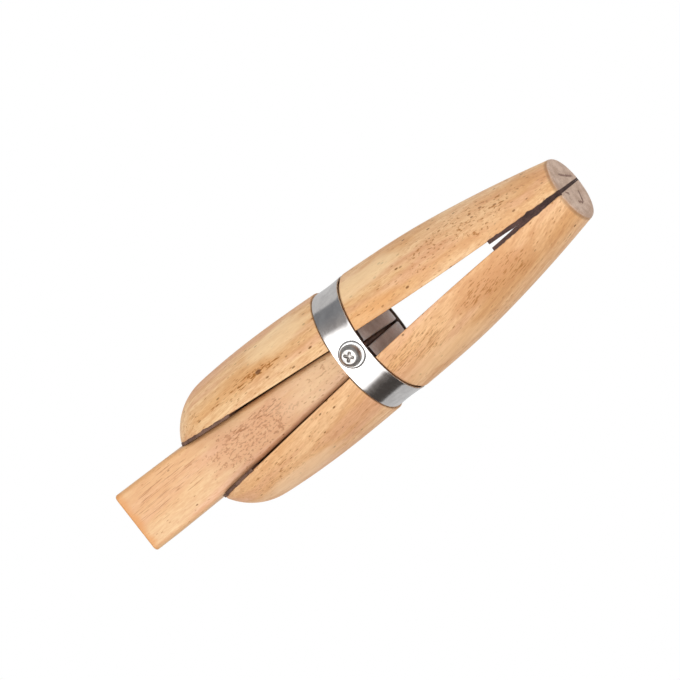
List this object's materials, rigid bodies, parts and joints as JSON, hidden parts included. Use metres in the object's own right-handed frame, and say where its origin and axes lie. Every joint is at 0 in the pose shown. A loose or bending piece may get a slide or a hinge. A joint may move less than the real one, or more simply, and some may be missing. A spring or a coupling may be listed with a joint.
{
  "type": "wooden ring clamp",
  "caption": "Hand clamp for holding rings: turned wooden jaws rock inside a steel band, and a tapered wooden wedge driven into the tail closes the leather-lined nose.",
  "frame": {"origin": "middle of the underside of the bounding box, where the clamp lies on a bench with its screw upright", "axes": "+X from the wedge end towards the flat nose, +Z along the pivot screw towards its head, the jaws open along Y"},
  "size_m": [0.1628, 0.042, 0.0474],
  "materials": {
    "jaw_wood": "sanded pale hardwood, bare or thinly oiled, with short dark pores along the grain",
    "wedge_wood": "planed pale hardwood, slightly pinker than the jaws",
    "band_plate": "bright nickel plate",
    "fastener_plate": "bright plated steel",
    "pad_leather": "grey-brown sole leather, cut edges darker"
  },
  "bodies": {
    "ring": {"band": "band_plate", "pivot_screw": "fastener_plate", "head_washer": "fastener_plate", "nut_washer": "fastener_plate", "pivot_nut": "fastener_plate"},
    "left_jaw": {"left_jaw": "jaw_wood", "left_fulcrum_pad": "pad_leather", "left_nose_pad": "pad_leather", "left_tail_pad": "pad_leather"},
    "right_jaw": {"right_jaw": "jaw_wood", "right_fulcrum_pad": "pad_leather", "right_nose_pad": "pad_leather", "right_tail_pad": "pad_leather"},
    "wedge": {"wedge": "wedge_wood"}
  },
  "joints": [
    {"name": "wedge_slide", "type": "slide", "parent": "ring", "child": "wedge", "axis": [-0.9999, -0.0122, 0], "range_m": [0, 0.045]},
    {"name": "left_jaw_rock", "type": "hinge", "parent": "ring", "child": "left_jaw", "pos_m": [0.0049, 0, 0.02423], "axis": [0, 0, 1], "range_deg": [0, 3.1]},
    {"name": "right_jaw_rock", "type": "hinge", "parent": "ring", "child": "right_jaw", "pos_m": [0.0049, 0, 0.02423], "axis": [0, 0, -1], "range_deg": [0, 3.1]}
  ],
  "couplings": [
    {"joint": "left_jaw_rock", "follows": "wedge_slide", "rad_per_m": 1.2},
    {"joint": "right_jaw_rock", "follows": "wedge_slide", "rad_per_m": 1.2}
  ]
}
